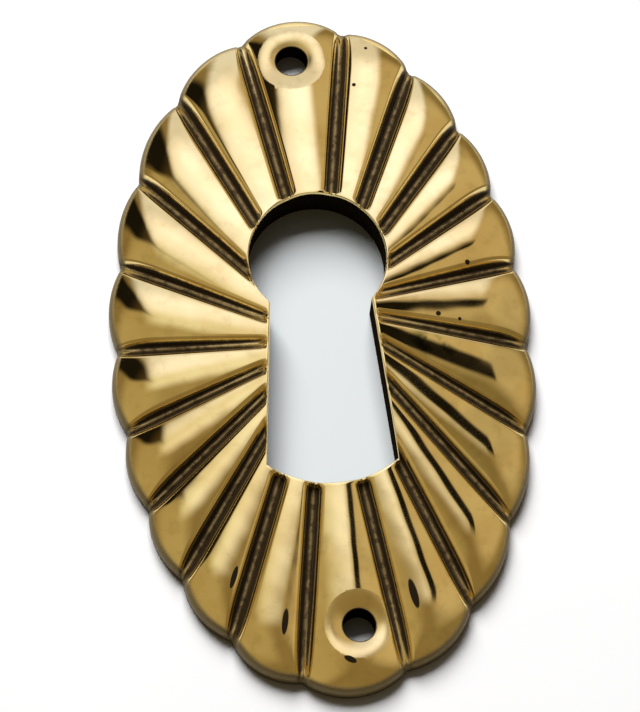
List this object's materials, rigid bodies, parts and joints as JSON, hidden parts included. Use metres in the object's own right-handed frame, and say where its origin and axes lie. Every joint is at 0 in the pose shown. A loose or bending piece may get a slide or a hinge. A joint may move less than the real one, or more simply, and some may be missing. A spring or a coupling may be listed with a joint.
{
  "type": "keyhole escutcheon",
  "caption": "Oval cast keyhole cover plate with convex lobes and grooves that radiate from the keyhole, and countersunk screw holes at its ends.",
  "frame": {"origin": "centre of the flat back, in the middle of the oval outline", "axes": "+Z out of the front face, +Y along the long axis toward the round eye of the keyhole, +X to the right as seen from the front"},
  "size_m": [0.0298, 0.0506, 0.0035],
  "materials": {
    "brass": "polished, with dark patina in the grooves"
  },
  "bodies": {
    "root": {"escutcheon_plate": "brass"}
  },
  "joints": []
}
